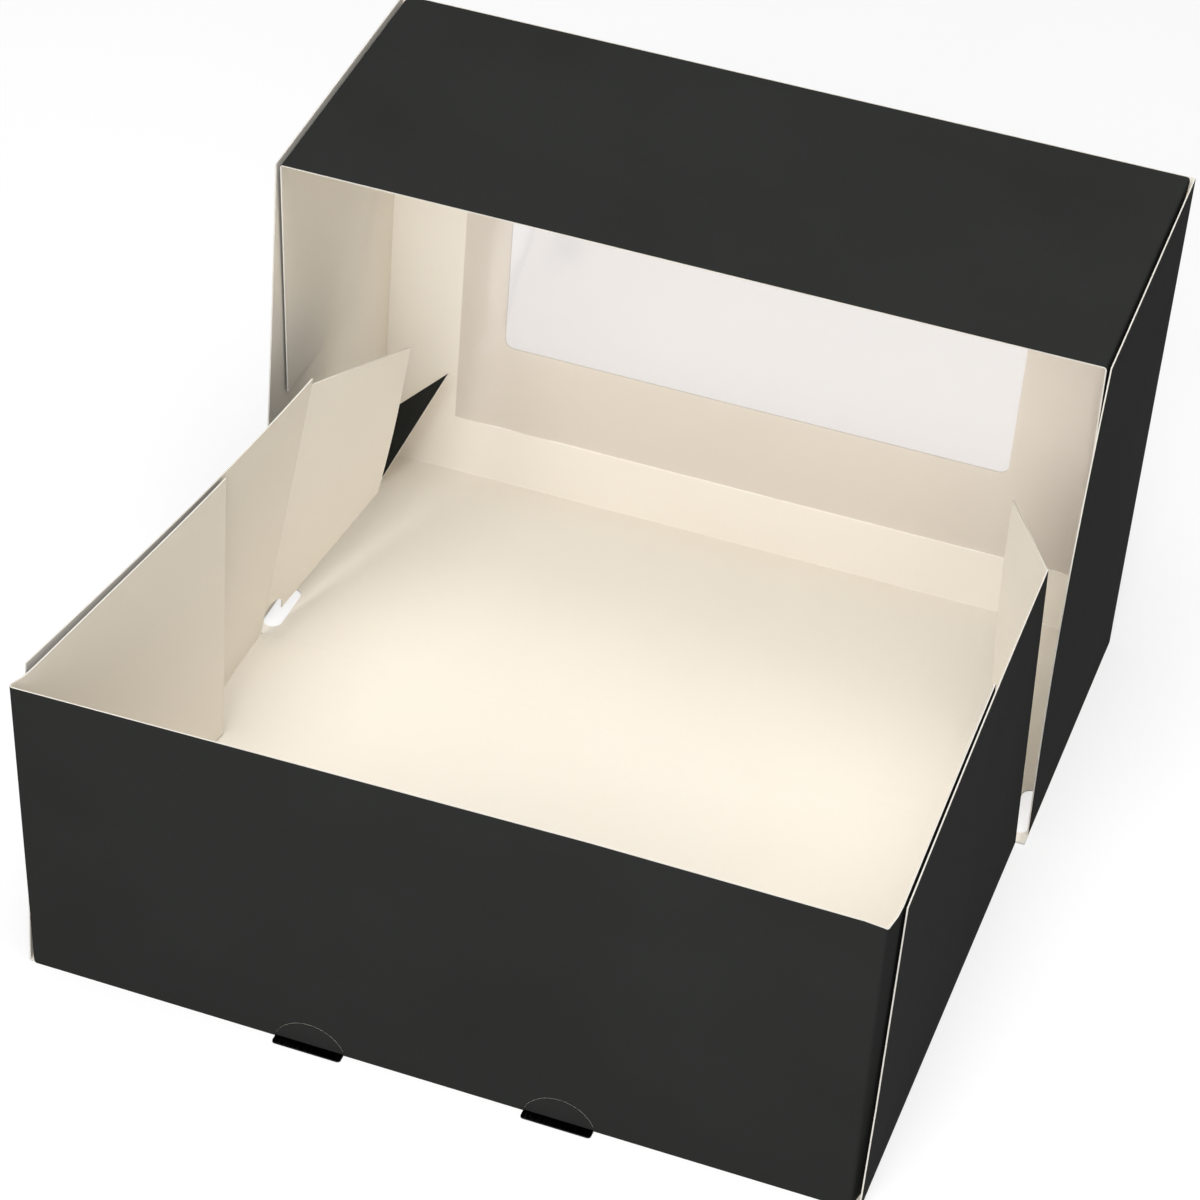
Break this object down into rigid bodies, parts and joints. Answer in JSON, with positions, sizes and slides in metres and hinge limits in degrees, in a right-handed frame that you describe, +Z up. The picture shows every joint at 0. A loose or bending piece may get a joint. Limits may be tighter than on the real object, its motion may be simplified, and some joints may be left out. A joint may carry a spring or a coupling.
{
  "type": "windowed cake box",
  "caption": "Open black card cake box with a cream inside, a hinged hood lid and a clear film window",
  "frame": {"origin": "middle of the open box's outline on the table", "axes": "X to the box's right, Y back from the front wall towards the lid, Z up"},
  "size_m": [0.245, 0.2712, 0.1637],
  "materials": {
    "card": "matt black printed card, cream on its inner face",
    "film": "thin clear film"
  },
  "bodies": {
    "base": {"tray": "card"},
    "lid": {"lid": "card", "window_film": "film"},
    "front_skirt": {"front_skirt": "card"},
    "left_flap": {"left_rear_flap": "card"},
    "right_flap": {"right_rear_flap": "card"},
    "left_corner": {"left_corner_flap": "card"},
    "right_corner": {"right_corner_flap": "card"}
  },
  "joints": [
    {"name": "lid_hinge", "type": "hinge", "parent": "base", "child": "lid", "pos_m": [0, 0.02335, 0.0005], "axis": [1, 0, 0], "range_deg": [0, 90]},
    {"name": "front_skirt_hinge", "type": "hinge", "parent": "lid", "child": "front_skirt", "pos_m": [0, 0.13565, 0.16368], "axis": [-1, 0, 0], "range_deg": [0, 25.2]},
    {"name": "left_flap_hinge", "type": "hinge", "parent": "base", "child": "left_flap", "pos_m": [-0.1195, 0.02245, 0], "axis": [-0.166, 0, -0.9861], "range_deg": [0, 108]},
    {"name": "right_flap_hinge", "type": "hinge", "parent": "base", "child": "right_flap", "pos_m": [0.1195, 0.02245, 0], "axis": [-0.0297, 0, 0.9996], "range_deg": [0, 90]},
    {"name": "left_corner_hinge", "type": "hinge", "parent": "lid", "child": "left_corner", "pos_m": [-0.1211, 0.10985, 0.0014], "axis": [0, -0.4848, -0.8746], "range_deg": [0, 59.4]},
    {"name": "right_corner_hinge", "type": "hinge", "parent": "lid", "child": "right_corner", "pos_m": [0.1211, 0.10985, 0.0014], "axis": [0, 0.4848, 0.8746], "range_deg": [0, 16.2]}
  ],
  "couplings": [
    {"joint": "front_skirt_hinge", "follows": "lid_hinge", "ratio": 0.28},
    {"joint": "left_flap_hinge", "follows": "lid_hinge", "ratio": 1.2},
    {"joint": "right_flap_hinge", "follows": "lid_hinge", "ratio": 1},
    {"joint": "left_corner_hinge", "follows": "lid_hinge", "ratio": 0.66},
    {"joint": "right_corner_hinge", "follows": "lid_hinge", "ratio": 0.18}
  ]
}
